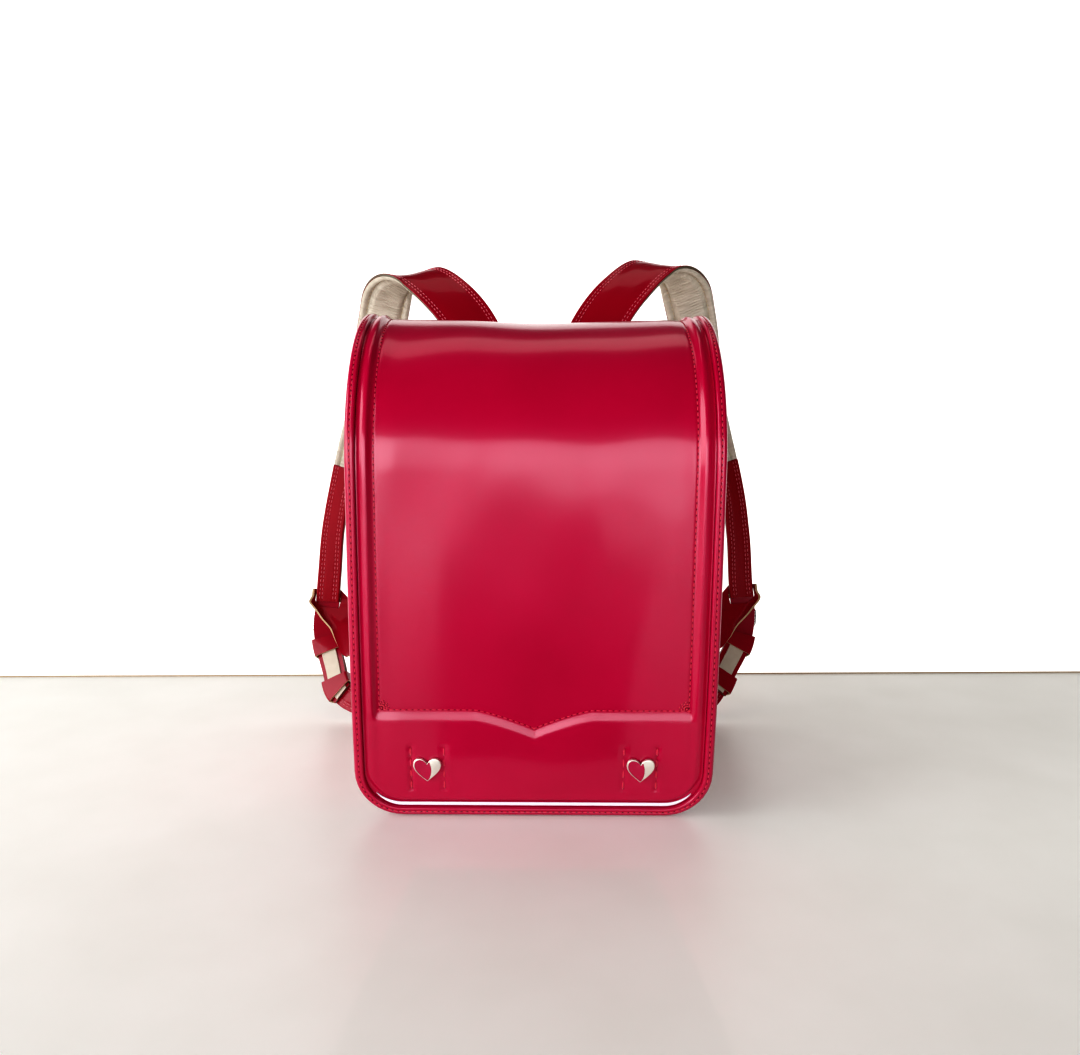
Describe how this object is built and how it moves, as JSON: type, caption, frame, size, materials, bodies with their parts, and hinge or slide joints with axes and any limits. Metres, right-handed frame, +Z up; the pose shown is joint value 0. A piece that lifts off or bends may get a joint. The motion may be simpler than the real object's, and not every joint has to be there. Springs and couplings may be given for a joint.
{
  "type": "school ransel",
  "caption": "Red leather school ransel standing upright, with a full-length padded flap, two heart studs, a light strip along the hem and two shoulder straps arched behind it.",
  "frame": {"origin": "middle of the part's footprint at the floor", "axes": "+Z up, the flap's face towards -Y, the straps at +Y, +X to the right as seen from the front"},
  "size_m": [0.4533, 0.2928, 0.4279],
  "materials": {
    "red_leather": "glossy polished",
    "dark_red_leather": "glossy polished",
    "cushion_leather": "satin, padded",
    "cream_lining": "matt, fine grain",
    "plated_metal": "bright plated",
    "enamel": "gloss",
    "reflective_strip": "satin, retroreflective"
  },
  "bodies": {
    "root": {"gusset": "red_leather", "front_panel": "red_leather", "back_panel": "red_leather", "back_binding": "red_leather", "pocket_gusset": "red_leather", "pocket_face": "red_leather", "flap": "red_leather", "flap_binding": "red_leather", "closure_tab": "red_leather", "side_tab": "red_leather", "front_binding": "dark_red_leather", "hinge_plate": "dark_red_leather", "back_cushion": "cushion_leather", "reflective_strip": "reflective_strip", "lock": "plated_metal", "side_ring": "plated_metal", "heart_left": "plated_metal", "heart_enamel_left": "enamel", "strap_outer_left": "dark_red_leather", "strap_lining_left": "cream_lining", "strap_facing_left": "dark_red_leather", "strap_tip_backing_left": "cream_lining", "buckle_guard_left": "dark_red_leather", "buckle_left": "plated_metal", "keeper_upper_left": "red_leather", "keeper_lower_left": "red_leather", "lower_strap_left": "dark_red_leather", "d_ring_left": "plated_metal", "ring_tab_left": "red_leather", "heart_right": "plated_metal", "heart_enamel_right": "enamel", "strap_outer_right": "dark_red_leather", "strap_lining_right": "cream_lining", "strap_facing_right": "dark_red_leather", "strap_tip_backing_right": "cream_lining", "buckle_guard_right": "dark_red_leather", "buckle_right": "plated_metal", "keeper_upper_right": "red_leather", "keeper_lower_right": "red_leather", "lower_strap_right": "dark_red_leather", "d_ring_right": "plated_metal", "ring_tab_right": "red_leather"}
  },
  "joints": []
}
